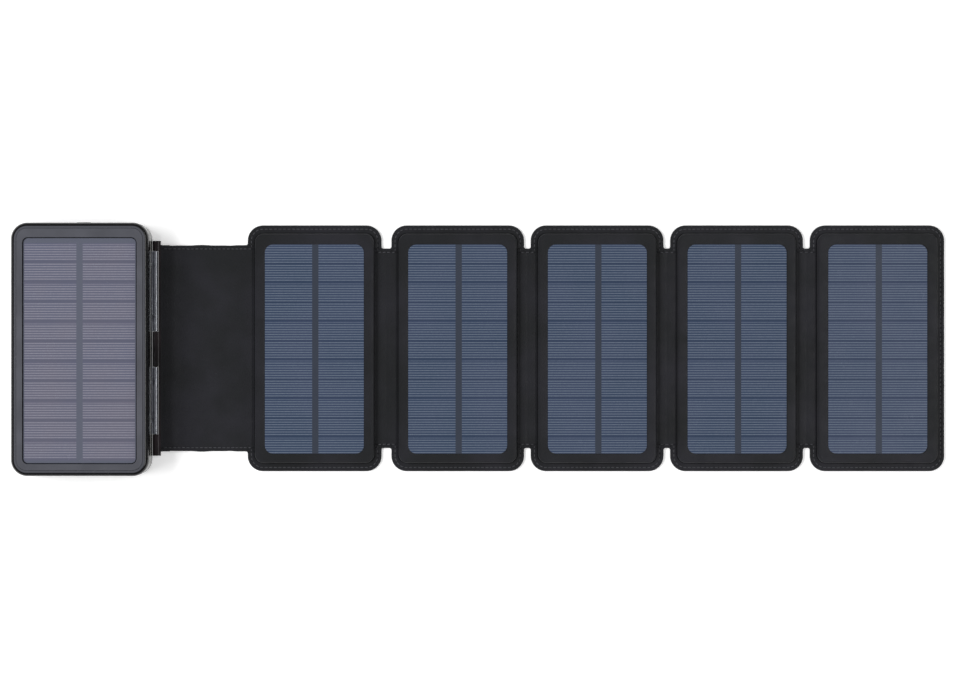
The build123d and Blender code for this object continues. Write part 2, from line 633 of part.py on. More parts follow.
for index, (left, right) in enumerate(panel_edges):
    panel = f"panel_{index + 1}"
    middle = mid(left, right)

    with BuildPart() as back_cover:
        with BuildSketch(Plane.XY):
            panel_outline(index)
        extrude(amount=back_t)
        with BuildSketch(Plane.XY.offset(ribbon_z0)):
            ribbon_outline(index)
        extrude(amount=ribbon_t, mode=Mode.SUBTRACT)
    save(back_cover.part, f"{panel}_back_cover")

    with BuildPart() as ribbon:
        with BuildSketch(Plane.XY.offset(ribbon_z0)):
            ribbon_outline(index)
        extrude(amount=ribbon_t)
    save(ribbon.part, f"{panel}_ribbon")

    with BuildPart() as stiffener:
        with BuildSketch(Plane.XY.offset(back_t)):
            raised_outline(index, front_t + fit_gap)
        extrude(amount=stiffener_t)
    save(stiffener.part, f"{panel}_stiffener")

    sheet_z = back_t + stiffener_t
    with BuildPart() as solar_sheet:
        with BuildSketch(Plane.XY.offset(sheet_z)):
            raised_outline(index, front_t + fit_gap)
        extrude(amount=panel_t - front_t - sheet_z)
        with BuildSketch(Plane.XY.offset(panel_t - front_t)):
            with Locations((middle, strip_y + cell_window_y)):
                RectangleRounded(
                    cell_window_w - 2 * fit_gap,
                    cell_window_l - 2 * fit_gap,
                    cell_window_r - fit_gap,
                )
        extrude(amount=cell_pad_t)
    save(solar_sheet.part, f"{panel}_solar_sheet")

    with BuildPart() as front_cover:
        with BuildSketch(Plane.XY.offset(back_t)):
            panel_outline(index)
        extrude(amount=front_t)
        with BuildSketch(Plane.XY.offset(back_t)):
            raised_outline(index, 0)
        extrude(amount=panel_t - back_t)
        fillet(front_cover.faces().sort_by(Axis.Z)[-1].edges(), front_fillet)
        with BuildSketch(Plane.XY.offset(back_t)):
            raised_outline(index, front_t)
        extrude(amount=panel_t - front_t - back_t, mode=Mode.SUBTRACT)
        with BuildSketch(Plane.XY.offset(panel_t - front_t)):
            with Locations((middle, strip_y + cell_window_y)):
                RectangleRounded(cell_window_w, cell_window_l, cell_window_r)
        extrude(amount=front_t, mode=Mode.SUBTRACT)
    save(front_cover.part, f"{panel}_front_cover")

print("fold lines", [round(x, 2) for x in fold_xs])
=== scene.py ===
"""Looks of the folding solar charger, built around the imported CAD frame.

Leatherette covers, fold strips and stitches are modelled here. The case, hinge, sockets and solar
sheets keep their CAD shape and get procedural materials. Lengths are in millimetres until a mesh
is made, and metres after that.
"""
import json
import math
import random

import bmesh
import bpy
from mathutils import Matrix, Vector


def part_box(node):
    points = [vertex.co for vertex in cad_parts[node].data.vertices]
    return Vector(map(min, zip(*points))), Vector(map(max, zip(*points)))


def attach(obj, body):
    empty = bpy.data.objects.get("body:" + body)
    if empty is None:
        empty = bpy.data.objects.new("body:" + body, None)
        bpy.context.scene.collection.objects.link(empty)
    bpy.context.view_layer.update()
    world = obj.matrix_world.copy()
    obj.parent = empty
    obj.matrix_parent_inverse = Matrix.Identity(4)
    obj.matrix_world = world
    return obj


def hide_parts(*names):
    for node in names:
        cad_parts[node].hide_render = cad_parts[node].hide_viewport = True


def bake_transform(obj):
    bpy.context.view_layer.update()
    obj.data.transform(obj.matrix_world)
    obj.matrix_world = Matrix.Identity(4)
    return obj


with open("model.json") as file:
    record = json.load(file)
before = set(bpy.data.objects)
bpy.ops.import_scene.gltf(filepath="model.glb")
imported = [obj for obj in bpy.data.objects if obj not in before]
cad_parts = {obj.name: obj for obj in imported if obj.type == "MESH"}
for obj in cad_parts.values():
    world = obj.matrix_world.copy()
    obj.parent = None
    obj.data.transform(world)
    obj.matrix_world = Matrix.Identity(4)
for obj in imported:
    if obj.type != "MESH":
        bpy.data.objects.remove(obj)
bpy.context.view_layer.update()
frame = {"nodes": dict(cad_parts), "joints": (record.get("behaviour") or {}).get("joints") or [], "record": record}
MM = 0.001

# ---------------------------------------------------------------- places, read from the frame
PANELS = (1, 2, 3, 4, 5)
RIBBON_COVER = 1.1  # from the underside of the flap's ribbon up to the top of the leather


def box_mm(node):
    """A CAD node's lowest and highest corners, in millimetres."""
    low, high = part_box(node)
    return Vector(low) / MM, Vector(high) / MM


JOINT = {joint["name"]: joint for joint in frame["joints"]}
flap_low, flap_high = box_mm("flap_back_cover")
panel_low, panel_high = box_mm("panel_1_front_cover")
strip_y = (flap_low.y + flap_high.y) / 2
flap_half = (flap_high.y - flap_low.y) / 2
rail_x = flap_low.x
panel_top = panel_high.z
panel_half_l = (panel_high.y - panel_low.y) / 2
leather_t = box_mm("flap_ribbon")[0].z + RIBBON_COVER
cell_face_z = box_mm("panel_1_solar_sheet")[1].z

# shape of a panel, as in the CAD covers
PANEL_R = 9.4
RAISED_SIDE, RAISED_END, RAISED_R = 4.5, 5.2, 5.5
WINDOW_W, WINDOW_L, WINDOW_R, WINDOW_Y = 61.5, 129.6, 5.2, -0.45
FOLD_HALF = 61.8
NOTCH_R = 1.2
COVER_FIT = 0.95  # the solar sheet stops this far inside the raised outline


def joint_x(name):
    return JOINT[name]["pos_m"][0] / MM


def panel_edges(k):
    """The left and right edge of a panel, from its solar sheet, which is centred in it."""
    low, high = box_mm(f"panel_{k}_solar_sheet")
    return low.x - RAISED_SIDE - COVER_FIT, high.x + RAISED_SIDE + COVER_FIT


# ---------------------------------------------------------------- camera and studio
CAMERA_HEIGHT, VIEW_WIDTH = 1.8, 0.5927
VIEW_CENTRE = (-0.00135, -0.0004)
SENSOR_WIDTH = 36
FLOOR_SIZE, FLOOR_GLOW, WORLD_STRENGTH = 12, 0.3, 0.13
WHITE = (1, 1, 1, 1)
# name, place, size, power, and whether shiny faces mirror it
LIGHTS = [
    ("light_left", (-1.7, 0.1, 1.5), (2.0, 1.1), 55, False),
    ("light_right", (0.95, 0.0, 1.5), (1.8, 0.26), 9, True),
    ("light_low_right", (2.0, 0.0, 0.6), (1.2, 0.5), 13, False),
    ("light_back", (0.0, 1.8, 1.5), (2.0, 1.2), 4, False),
    ("light_front", (0.0, -1.8, 1.5), (2.0, 1.2), 7, False),
]


def make_camera():
    data = bpy.data.cameras.new("camera")
    data.sensor_width = SENSOR_WIDTH
    data.lens = data.sensor_width * CAMERA_HEIGHT / VIEW_WIDTH
    camera = bpy.data.objects.new("camera", data)
    camera.location = (*VIEW_CENTRE, CAMERA_HEIGHT)
    bpy.context.scene.collection.objects.link(camera)
    bpy.context.scene.camera = camera


def area_light(name, place, size, power, mirrored):
    """A light aimed at the middle of the row. Its first size is level, its second slopes."""
    data = bpy.data.lights.new(name, "AREA")
    data.shape = "RECTANGLE"
    data.size, data.size_y = size
    data.energy = power
    light = bpy.data.objects.new(name, data)
    light.location = place
    light.rotation_euler = (-Vector(place)).to_track_quat("-Z", "Y").to_euler()
    light.visible_glossy = mirrored
    bpy.context.scene.collection.objects.link(light)


def make_studio():
    scene = bpy.context.scene
    scene.view_settings.view_transform = "Standard"
    world = bpy.data.worlds.new("studio")
    world.use_nodes = True
    background = world.node_tree.nodes["Background"]
    background.inputs["Color"].default_value = WHITE
    background.inputs["Strength"].default_value = WORLD_STRENGTH
    scene.world = world
    for light in LIGHTS:
        area_light(*light)


def make_floor():
    bpy.ops.mesh.primitive_plane_add(size=FLOOR_SIZE)
    floor = bpy.context.object
    floor.name = "studio_floor"
    floor.data.materials.append(material_floor())


# ---------------------------------------------------------------- materials
def srgb(r, g, b, gain=1.0):
    """A linear colour from 0-255 display values."""
    def linear(c):
        c /= 255
        return c / 12.92 if c <= 0.04045 else ((c + 0.055) / 1.055) ** 2.4
    return (linear(r) * gain, linear(g) * gain, linear(b) * gain, 1)


class Graph:
    """A material's node tree, with short calls for the nodes used here."""

    def __init__(self, name):
        self.material = bpy.data.materials.new(name)
        self.material.use_nodes = True
        self.tree = self.material.node_tree
        self.shader = self.tree.nodes["Principled BSDF"]
        self.coordinates = None

    def add(self, kind, links=(), **settings):
        """Adds a node. links gives an input's name or number and the socket or value for it."""
        node = self.tree.nodes.new(kind)
        for key, value in settings.items():
            setattr(node, key, value)
        for key, value in dict(links).items():
            self.put(node.inputs[key], value)
        return node

    def put(self, socket, value):
        if isinstance(value, bpy.types.NodeSocket):
            self.tree.links.new(value, socket)
        else:
            socket.default_value = value

    def place(self):
        """The object's own coordinates, which are the row frame's, in metres."""
        if self.coordinates is None:
            self.coordinates = self.add("ShaderNodeTexCoord").outputs["Object"]
        return self.coordinates

    def math(self, operation, a, b=0.0, clamp=False):
        node = self.add("ShaderNodeMath", {0: a, 1: b}, operation=operation, use_clamp=clamp)
        return node.outputs[0]

    def product(self, first, *others):
        for other in others:
            first = self.math("MULTIPLY", first, other)
        return first

    def distance(self, a, b):
        return self.math("ABSOLUTE", self.math("SUBTRACT", a, b))

    def ramp(self, value, low, high, start=0.0, end=1.0):
        """A smooth step from start to end as value goes from low to high."""
        links = {"Value": value, "From Min": low, "From Max": high, "To Min": start, "To Max": end}
        return self.add("ShaderNodeMapRange", links, interpolation_type="SMOOTHSTEP").outputs[0]

    def mix(self, share, a, b):
        node = self.add("ShaderNodeMix", {0: share, 6: a, 7: b}, data_type="RGBA")
        return node.outputs[2]

    def noise(self, scale, detail=2.0, roughness=0.5, vector=None):
        links = {"Vector": vector or self.place(), "Scale": scale, "Detail": detail,
                 "Roughness": roughness}
        return self.add("ShaderNodeTexNoise", links).outputs["Fac"]

    def blotch(self, scale, dark, light):
        """Two colours in soft patches."""
        return self.mix(self.ramp(self.noise(scale, 3.0), 0.3, 0.7), dark, light)

    def handled(self, roughness):
        """A roughness that is a little higher where the surface has been handled."""
        worn = min(1.0, roughness + 0.14)
        return self.ramp(self.noise(180.0, 6.0, 0.7), 0.45, 0.75, roughness, worn)

    def bump(self, height, strength, distance, normal=None):
        links = {"Height": height, "Strength": strength, "Distance": distance}
        if normal:
            links["Normal"] = normal
        return self.add("ShaderNodeBump", links).outputs[0]

    def set(self, **values):
        for key, value in values.items():
            self.put(self.shader.inputs[key.replace("_", " ")], value)
        return self.material


def material_floor():
    g = Graph("studio_floor")
    tone = g.ramp(g.noise(1.5), 0.3, 0.7)
    g.set(Emission_Color=WHITE, Emission_Strength=FLOOR_GLOW)
    return g.set(Base_Color=g.mix(tone, (0.9, 0.9, 0.9, 1), (0.92, 0.92, 0.92, 1)), Roughness=0.9)


def material_leather(name, gain=1.0):
    """Fine-grained black leatherette: pebbled grain, faint scuffs and a soft sheen."""
    g = Graph(name)
    cells = g.add("ShaderNodeTexVoronoi", {"Vector": g.place(), "Scale": 1900.0, "Randomness": 0.9})
    grain = g.math("ADD", cells.outputs["Distance"], g.math("MULTIPLY", g.noise(900.0, 4.0), 0.6))
    cloudy = g.ramp(g.noise(26.0, 3.0), 0.35, 0.7)
    scuff = g.ramp(g.noise(320.0, 5.0, 0.7), 0.66, 0.78, 0.0, 0.35)
    base = g.mix(cloudy, srgb(33, 34, 36, gain), srgb(41, 41, 46, gain))
    colour = g.mix(scuff, base, srgb(66, 66, 70, gain))
    pores = g.mix(g.ramp(grain, 0.35, 0.7, 0.45, 0.0), colour, srgb(20, 20, 22, gain))
    undulation = g.bump(g.noise(60.0, 2.0), 0.25, 0.0006)
    normal = g.bump(grain, 0.5, 0.00016, undulation)
    g.set(Roughness=g.ramp(g.noise(140.0, 3.0), 0.3, 0.75, 0.52, 0.68), Normal=normal)
    return g.set(Base_Color=pores, Specular_IOR_Level=0.28, Sheen_Weight=0.08, Sheen_Roughness=0.4)


def material_thread():
    """Twisted black sewing thread."""
    g = Graph("black_thread")
    twist = g.add("ShaderNodeTexWave", {"Vector": g.place(), "Scale": 900.0, "Distortion": 2.0})
    colour = g.mix(twist.outputs["Fac"], srgb(38, 38, 41), srgb(88, 88, 93))
    normal = g.bump(twist.outputs["Fac"], 0.6, 0.0001)
    return g.set(Base_Color=colour, Roughness=0.42, Normal=normal)


def material_plastic(name, dark, light, roughness, depth=0.00004, scale=2200.0):
    """Moulded plastic: a slight tone change, fine texture, and handling marks in the gloss."""
    g = Graph(name)
    texture = g.bump(g.noise(scale), 0.3, depth)
    return g.set(Base_Color=g.blotch(40.0, dark, light), Roughness=g.handled(roughness),
                 Normal=texture)


# heights between which the case's painted highlight band begins and ends, and its grey land begins
HIGHLIGHT_START, HIGHLIGHT_STOP, LAND_START = (9.3, 9.7), (13.2, 13.7), (23.6, 23.76)


def material_case():
    """Gloss black case, with a slim painted highlight band above the parting line and a grey land at the top."""
    g = Graph("gloss_black_case")
    height = g.add("ShaderNodeSeparateXYZ", {0: g.place()}).outputs[2]

    def rise(span, start=0.0, end=1.0):
        return g.ramp(height, span[0] * MM, span[1] * MM, start, end)

    # painted highlight: a pale band round the case wall above the parting line, standing in for light caught by a
    # rounded shoulder
    line = g.product(rise(HIGHLIGHT_START), rise(HIGHLIGHT_STOP, 1.0, 0.0))
    black = g.blotch(40.0, srgb(9, 9, 10), srgb(14, 14, 16))
    painted_highlight = g.blotch(55.0, srgb(136, 136, 132), srgb(146, 146, 142))
    colour = g.mix(rise(LAND_START), g.mix(line, black, painted_highlight), srgb(74, 75, 81))
    texture = g.bump(g.noise(2200.0), 0.3, 0.00001)
    return g.set(Base_Color=colour, Roughness=g.handled(0.2), Normal=texture,
                 Specular_IOR_Level=0.45)


def material_metal(name, dark, light, roughness):
    """Brushed or drawn metal, with its lines along Y."""
    g = Graph(name)
    lines = g.add("ShaderNodeMapping", {"Vector": g.place(), "Scale": (1, 0.02, 1)}).outputs[0]
    streak = g.noise(2600.0, 3.0, 0.6, lines)
    dust = g.noise(700.0, 4.0, 0.7)
    tone = g.math("ADD", g.math("MULTIPLY", streak, 0.6), g.math("MULTIPLY", dust, 0.4))
    rough = g.ramp(streak, 0.3, 0.7, roughness, roughness + 0.15)
    g.set(Base_Color=g.mix(g.ramp(tone, 0.35, 0.65), dark, light), Roughness=rough)
    return g.set(Metallic=1.0, Normal=g.bump(streak, 0.25, 0.00003))


BAR_HALF = 1.95  # half width of the bar between the two columns of cells


def cell_fingers(g, along, look):
    """1 on the pale fingers across the cells. Rows a and b take turns, each with its own count."""
    pitch, row_a = look["finger_pitch"], look["row_a"]
    in_b = g.math("GREATER_THAN", along, row_a - look["lead"])
    in_a = g.math("SUBTRACT", 1.0, in_b)
    local = g.math("SUBTRACT", along, g.product(in_b, row_a))
    near = g.math("PINGPONG", local, pitch / 2)
    line = g.ramp(near, look["finger_half"] - 0.1, look["finger_half"] + 0.1, 1.0, 0.0)
    before_end_a = g.math("LESS_THAN", local, look["last_a"] + pitch / 2)
    before_end_b = g.math("LESS_THAN", local, look["last_b"] + pitch / 2)
    kept = g.math("ADD", g.product(in_b, before_end_b), g.product(in_a, before_end_a))
    return g.product(line, kept)


def cell_seams(g, along, look):
    """1 on the darker lines between the rows."""
    near = g.math("MINIMUM", g.distance(along, look["seam_a"]), g.distance(along, look["seam_b"]))
    return g.ramp(near, look["seam_half"] - 0.2, look["seam_half"] + 0.2, 1.0, 0.0)


def cell_area(g, down, across, look):
    """1 where there are cells, and 0 on the bar between the columns and past the rows' ends."""
    past_bar = g.ramp(across, (BAR_HALF - 0.12) * MM, (BAR_HALF + 0.12) * MM)
    before_edge = g.ramp(across, (look["half_w"] - 0.1) * MM, (look["half_w"] + 0.1) * MM, 1.0, 0.0)
    after_start = g.math("GREATER_THAN", down, look["start"] - 0.7)
    before_end = g.math("LESS_THAN", down, look["end"])
    return g.product(after_start, before_end, past_bar, before_edge)


def material_cells(name, x_mid, y_top, look):
    """Two columns of silicon cells with fine pale fingers across them, under a clear film."""
    g = Graph(name)
    x, y, _ = g.add("ShaderNodeSeparateXYZ", {0: g.place()}).outputs
    down = g.product(g.math("SUBTRACT", y_top * MM, y), 1 / MM)
    across = g.distance(x, x_mid * MM)
    period = look["row_a"] + look["row_b"]
    along = g.math("FLOORED_MODULO", g.math("SUBTRACT", down, look["start"]), period)
    silicon = g.blotch(22.0, look["cell"], look["cell_2"])
    silicon = g.mix(g.product(cell_seams(g, along, look), look["seam_share"]), silicon, look["seam"])
    speckle = g.ramp(g.noise(1500.0), 0.35, 0.65, 0.75, 1.0)
    silicon = g.mix(g.product(cell_fingers(g, along, look), speckle), silicon, look["finger"])
    colour = g.mix(cell_area(g, down, across, look), look["bar"], silicon)
    film = g.bump(g.noise(9.0, 1.0), 0.12, 0.0008)
    gloss = g.ramp(g.noise(60.0, 4.0), 0.3, 0.7, 0.2, 0.28)
    return g.set(Base_Color=colour, Roughness=gloss, Normal=film, Specular_IOR_Level=0.35,
                 Coat_Weight=0.3, Coat_Roughness=0.08)


# Lengths in mm. A row's fingers run from its start to last_a or last_b.
PANEL_LOOK = {
    "start": 0.5, "end": 200.0, "finger_pitch": 1.52, "row_a": 12.64, "row_b": 11.2,
    "lead": 1.0, "last_a": 10.64, "last_b": 9.12, "finger_half": 0.3,
    "seam_a": 11.64, "seam_b": 22.8, "seam_half": 0.4, "seam_share": 0.35, "half_w": 60.0,
    "cell": srgb(50, 63, 85), "cell_2": srgb(57, 67, 90), "seam": srgb(40, 50, 68),
    "finger": srgb(96, 106, 122), "bar": srgb(54, 59, 70),
}
LAST_PANEL_LOOK = PANEL_LOOK | {
    "cell": srgb(58, 68, 90), "cell_2": srgb(64, 72, 94), "bar": srgb(58, 63, 74),
}
BAR_OFFSET = 0.6  # the bar between the columns is a little off the panel's middle
BANK_LOOK = {
    "start": 3.9, "end": 136.4, "finger_pitch": 1.517, "row_a": 12.13, "row_b": 12.13,
    "lead": 0.7, "last_a": 9.1, "last_b": 9.1, "finger_half": 0.32,
    "seam_a": 10.6, "seam_b": 22.7, "seam_half": 0.7, "seam_share": 0.5, "half_w": 33.9,
    "cell": srgb(88, 90, 109), "cell_2": srgb(96, 94, 109), "seam": srgb(86, 88, 102),
    "finger": srgb(127, 127, 139), "bar": srgb(88, 91, 104),
}


def material_board():
    """Green solder mask over faint copper tracks."""
    g = Graph("circuit_board")
    tracks = g.add("ShaderNodeTexBrick", {"Vector": g.place(), "Scale": 260.0}).outputs["Fac"]
    colour = g.mix(tracks, srgb(14, 70, 44), srgb(30, 96, 60))
    return g.set(Base_Color=colour, Roughness=0.4, Normal=g.bump(tracks, 0.3, 0.00005))


def make_materials():
    """The finish for each material slot of the record."""
    return {
        "gloss_black_case": material_case(),
        "dark_frame": material_plastic("dark_frame", srgb(72, 73, 79), srgb(82, 83, 90), 0.45),
        "black_rubber": material_plastic("black_rubber", srgb(20, 20, 20), srgb(30, 30, 31), 0.75),
        "steel": material_metal("drawn_steel", srgb(132, 134, 140), srgb(186, 188, 194), 0.34),
        "nickel": material_metal("nickel_strip", srgb(170, 164, 150), srgb(206, 200, 186), 0.3),
        "pouch_foil": material_metal("pouch_foil", srgb(150, 152, 156), srgb(190, 192, 196), 0.4),
        "foam_pad": material_plastic("foam_pad", srgb(40, 40, 42), srgb(60, 60, 62), 0.95,
                                     depth=0.0003, scale=900.0),
        "circuit_board": material_board(),
        "chip_black": material_plastic("black_moulding", srgb(22, 22, 24), srgb(34, 34, 36), 0.5),
        "clear_plastic": material_plastic("frosted_lens", srgb(176, 180, 188),
                                          srgb(206, 208, 214), 0.35),
        "lead_sleeve": material_plastic("lead_sleeve", srgb(120, 16, 14), srgb(150, 24, 20), 0.5),
        "rail_plastic": material_plastic("rail_plastic", srgb(24, 20, 22), srgb(44, 36, 39), 0.32),
        "ribbon_film": material_plastic("ribbon_film", srgb(140, 84, 30), srgb(164, 104, 44), 0.35),
        "fibre_board": material_plastic("fibre_board", srgb(120, 108, 92), srgb(146, 134, 116), 0.9,
                                        depth=0.0002, scale=700.0),
        "black_leatherette": material_leather("cover_leatherette", 0.9),
    }


def dress_cad(materials):
    """Every CAD node gets its slot's material, and each solar sheet gets its own cells."""
    for part in frame["record"]["subparts"]:
        node = frame["nodes"][part["node"]]
        if part["material_slot"] == "solar_sheet":
            low, high = box_mm(part["node"])
            x_mid = (low.x + high.x) / 2
            if part["node"] == "bank_solar_sheet":
                finish = material_cells("bank_cells", x_mid, high.y, BANK_LOOK)
            else:
                x_mid += BAR_OFFSET
                look = LAST_PANEL_LOOK if part["node"].startswith("panel_5") else PANEL_LOOK
                top = strip_y + WINDOW_Y + WINDOW_L / 2
                finish = material_cells(part["node"].replace("sheet", "cells"), x_mid, top, look)
        else:
            finish = materials[part["material_slot"]]
        node.data.materials.clear()
        node.data.materials.append(finish)
        for face in node.data.polygons:
            face.material_index = 0


# ---------------------------------------------------------------- mesh helpers
def new_mesh(name, points, faces, material, smooth_angle=50):
    """A mesh object from points in millimetres."""
    mesh = bpy.data.meshes.new(name)
    mesh.from_pydata([tuple(c * MM for c in p) for p in points], [], faces)
    mesh.materials.append(material)
    mesh.validate()
    piece = bpy.data.objects.new(name, mesh)
    bpy.context.scene.collection.objects.link(piece)
    mesh.shade_smooth()
    mesh.set_sharp_from_angle(angle=math.radians(smooth_angle))
    return piece


def smooth(t):
    """A soft step from 0 to 1."""
    t = min(max(t, 0.0), 1.0)
    return t * t * (3 - 2 * t)


def ripple(x, y):
    """The slight unevenness of leatherette that has been folded many times, up to a half."""
    across = math.sin(0.31 * x + 1.3 * math.sin(0.045 * y))
    down = math.sin(0.083 * y + 0.4 * x)
    return across * down / 2


# ---------------------------------------------------------------- panel covers
ARC_STEPS, SIDE_STEPS = 12, 24
# levels along a side, as distances from the panel's middle; the fold strips end at two of them
SIDE_END = panel_half_l - PANEL_R
END_SHARES = [2 * i / SIDE_STEPS - 1 for i in range(SIDE_STEPS + 1)]
SIDE_LEVELS = [-SIDE_END, -flap_half, -FOLD_HALF]
SIDE_LEVELS += [FOLD_HALF * share for share in END_SHARES[1:-1]]
SIDE_LEVELS += [FOLD_HALF, flap_half, SIDE_END]

TROUGH = 0.36  # depth of the sewn groove
# from the window's edge outwards and round to the back: outline, distance out from it, height
TOP_PROFILE = [
    ("window", 0.0, cell_face_z - 0.15), ("window", 0.02, panel_top - 0.22),
    ("window", 0.22, panel_top - 0.1), ("window", 0.6, panel_top - 0.06),
    ("window", 1.8, panel_top - 0.02), ("raised", -2.2, panel_top),
    ("raised", -1.3, panel_top - 0.03), ("raised", -0.75, panel_top - 0.14),
    ("raised", -0.35, panel_top - 0.38), ("raised", -0.1, panel_top - 0.8),
    ("raised", 0.0, panel_top - 1.4), ("raised", 0.0, leather_t + 0.5),
    ("raised", 0.03, leather_t - 0.15), ("raised", 0.2, leather_t - 0.3),
    ("raised", 0.36, leather_t - 0.2), ("raised", 0.5, leather_t),
]
RIM_PROFILE = [
    ("panel", -2.9, leather_t), ("panel", -2.65, leather_t - 0.12),
    ("panel", -2.35, leather_t - TROUGH), ("panel", -2.05, leather_t - 0.12),
    ("panel", -1.7, leather_t + 0.02),
    ("panel", -1.15, leather_t + 0.03), ("panel", -0.95, leather_t - 0.08),
    ("panel", -0.75, leather_t + 0.01), ("panel", -0.4, leather_t - 0.05),
    ("panel", -0.12, leather_t - 0.32), ("panel", 0.0, leather_t - 0.7), ("panel", 0.0, 0.55),
    ("panel", -0.12, 0.22), ("panel", -0.45, 0.02), ("panel", -2.05, 0.0), ("panel", -2.35, 0.12),
    ("panel", -2.65, 0.0),
]
BACK_PROFILE = [("raised", 0.5, 0.0), ("raised", -1.5, 0.0), ("raised", -4.5, 0.0)]
CAP_SHARES = (0.8, 0.6, 0.4, 0.2)  # sizes of the rings that close a panel's front and back


def outline(kind, out, left, right):
    """Half sizes, corner radius and middle of one of a panel's outlines, moved out by a distance."""
    half_w = (right - left) / 2
    if kind == "panel":
        return half_w + out, panel_half_l + out, PANEL_R + out, strip_y
    if kind == "raised":
        return half_w - RAISED_SIDE + out, panel_half_l - RAISED_END + out, RAISED_R + out, strip_y
    return WINDOW_W / 2 + out, WINDOW_L / 2 + out, WINDOW_R + out, strip_y + WINDOW_Y


def side_height(level, kind, straight):
    """Where a side level falls on an outline whose side is straight up to a given distance."""
    if kind == "window":
        return level * straight / SIDE_END
    if abs(level) <= flap_half:
        return level
    rest = (abs(level) - flap_half) / (SIDE_END - flap_half) * (straight - flap_half)
    return math.copysign(flap_half + rest, level)


def ring(kind, out, z, left, right):
    """Points round an outline, anticlockwise from the low end of its right side."""
    a, b, r, mid_y = outline(kind, out, left, right)
    mid_x = (left + right) / 2
    ys = [side_height(level, kind, b - r) for level in SIDE_LEVELS]
    xs = [share * (a - r) for share in END_SHARES]
    points = [(a, y) for y in ys]
    points += arc(a - r, b - r, r, 0)
    points += [(-x, b) for x in xs]
    points += arc(r - a, b - r, r, 90)
    points += [(-a, -y) for y in ys]
    points += arc(r - a, r - b, r, 180)
    points += [(x, -b) for x in xs]
    points += arc(a - r, r - b, r, 270)
    return [(mid_x + x, mid_y + y, z) for x, y in points]


def arc(x, y, r, start):
    """The points between the two ends of a quarter circle."""
    angles = [math.radians(start + 90 * i / ARC_STEPS) for i in range(1, ARC_STEPS)]
    return [(x + r * math.cos(t), y + r * math.sin(t)) for t in angles]


def open_segments(left_half, right_half):
    """Ring segments where a fold strip takes over from the rim, as (first, last) pairs."""
    spans = []
    count = len(SIDE_LEVELS)
    left_start = count + 2 * (ARC_STEPS - 1) + len(END_SHARES)
    for start, half in ((0, right_half), (left_start, left_half)):
        if half:
            first = SIDE_LEVELS.index(-half)
            spans.append((start + first, start + count - 1 - first))
    return spans


def panel_cover(k, leather):
    """The leatherette round one panel: raised board, window edge, sewn rim and back."""
    left, right = panel_edges(k)
    left_half = flap_half if k == 1 else FOLD_HALF
    right_half = FOLD_HALF if k < PANELS[-1] else None
    rings = [ring(*step, left, right) for step in TOP_PROFILE + RIM_PROFILE + BACK_PROFILE]
    points = [p for one in rings for p in one]
    size = len(rings[0])
    foot, rim_end = len(TOP_PROFILE) - 1, len(TOP_PROFILE) + len(RIM_PROFILE)
    gaps = open_segments(left_half, right_half)

    def at(row, i):
        return row * size + i % size

    faces = []
    for row in range(len(rings) - 1):
        for i in range(size):
            in_gap = any(first <= i < last for first, last in gaps)
            if in_gap and foot <= row < rim_end:
                continue
            faces.append((at(row, i), at(row + 1, i), at(row + 1, i + 1), at(row, i + 1)))
    for first, last in gaps:
        for i in range(first, last):
            faces.append((at(foot, i), at(rim_end, i), at(rim_end, i + 1), at(foot, i + 1)))
        column = range(foot, rim_end + 1)
        faces.append(tuple(at(row, first) for row in column))
        faces.append(tuple(at(row, last) for row in reversed(column)))
    cap(points, faces, [at(0, i) for i in reversed(range(size))])
    cap(points, faces, [at(len(rings) - 1, i) for i in range(size)])
    cover = new_mesh(f"panel_{k}_leatherette", points, faces, leather)
    recalculate_normals(cover)
    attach(cover, f"panel_{k}")
    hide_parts(f"panel_{k}_front_cover", f"panel_{k}_back_cover")
    return cover


def cap(points, faces, rim):
    """Closes a ring of point numbers with smaller rings and a fan."""
    middle = sum((Vector(points[i]) for i in rim), Vector()) / len(rim)
    outer = rim
    for share in CAP_SHARES:
        inner = list(range(len(points), len(points) + len(rim)))
        points += [tuple(middle.lerp(Vector(points[i]), share)) for i in rim]
        for a in range(len(rim)):
            b = (a + 1) % len(rim)
            faces.append((outer[a], inner[a], inner[b], outer[b]))
        outer = inner
    points.append(tuple(middle))
    for a in range(len(rim)):
        faces.append((outer[a], len(points) - 1, outer[(a + 1) % len(rim)]))


def recalculate_normals(piece):
    """Joins points that coincide, and turns every face outwards."""
    bm = bmesh.new()
    bm.from_mesh(piece.data)
    bmesh.ops.remove_doubles(bm, verts=bm.verts, dist=1e-7)
    bmesh.ops.triangulate(bm, faces=[f for f in bm.faces if len(f.verts) > 4])
    bmesh.ops.recalc_face_normals(bm, faces=bm.faces)
    loose = [v for v in bm.verts if not v.link_faces]
    bmesh.ops.delete(bm, geom=loose, context="VERTS")
    bm.to_mesh(piece.data)
    bm.free()


# ---------------------------------------------------------------- flap and fold strips
# from an edge inwards: distance in, height of the top, height of the underside
EDGE_ROWS = [
    (0.0, leather_t - 0.7, 0.55), (0.12, leather_t - 0.32, 0.22), (0.42, leather_t - 0.05, 0.02),
    (0.75, leather_t + 0.01, 0.0), (0.95, leather_t - 0.08, 0.0), (1.15, leather_t + 0.03, 0.0),
    (1.7, leather_t + 0.02, 0.0), (2.05, leather_t - 0.12, 0.0),
    (2.35, leather_t - TROUGH, 0.12), (2.65, leather_t - 0.12, 0.0), (3.2, leather_t, 0.0),
]
MIDDLE_ROWS = 28
WAVE = 0.09  # height of the ripples
WAVE_FADE, DIP_FADE = 6, 2  # ripples and creases fade in over these distances from the edges


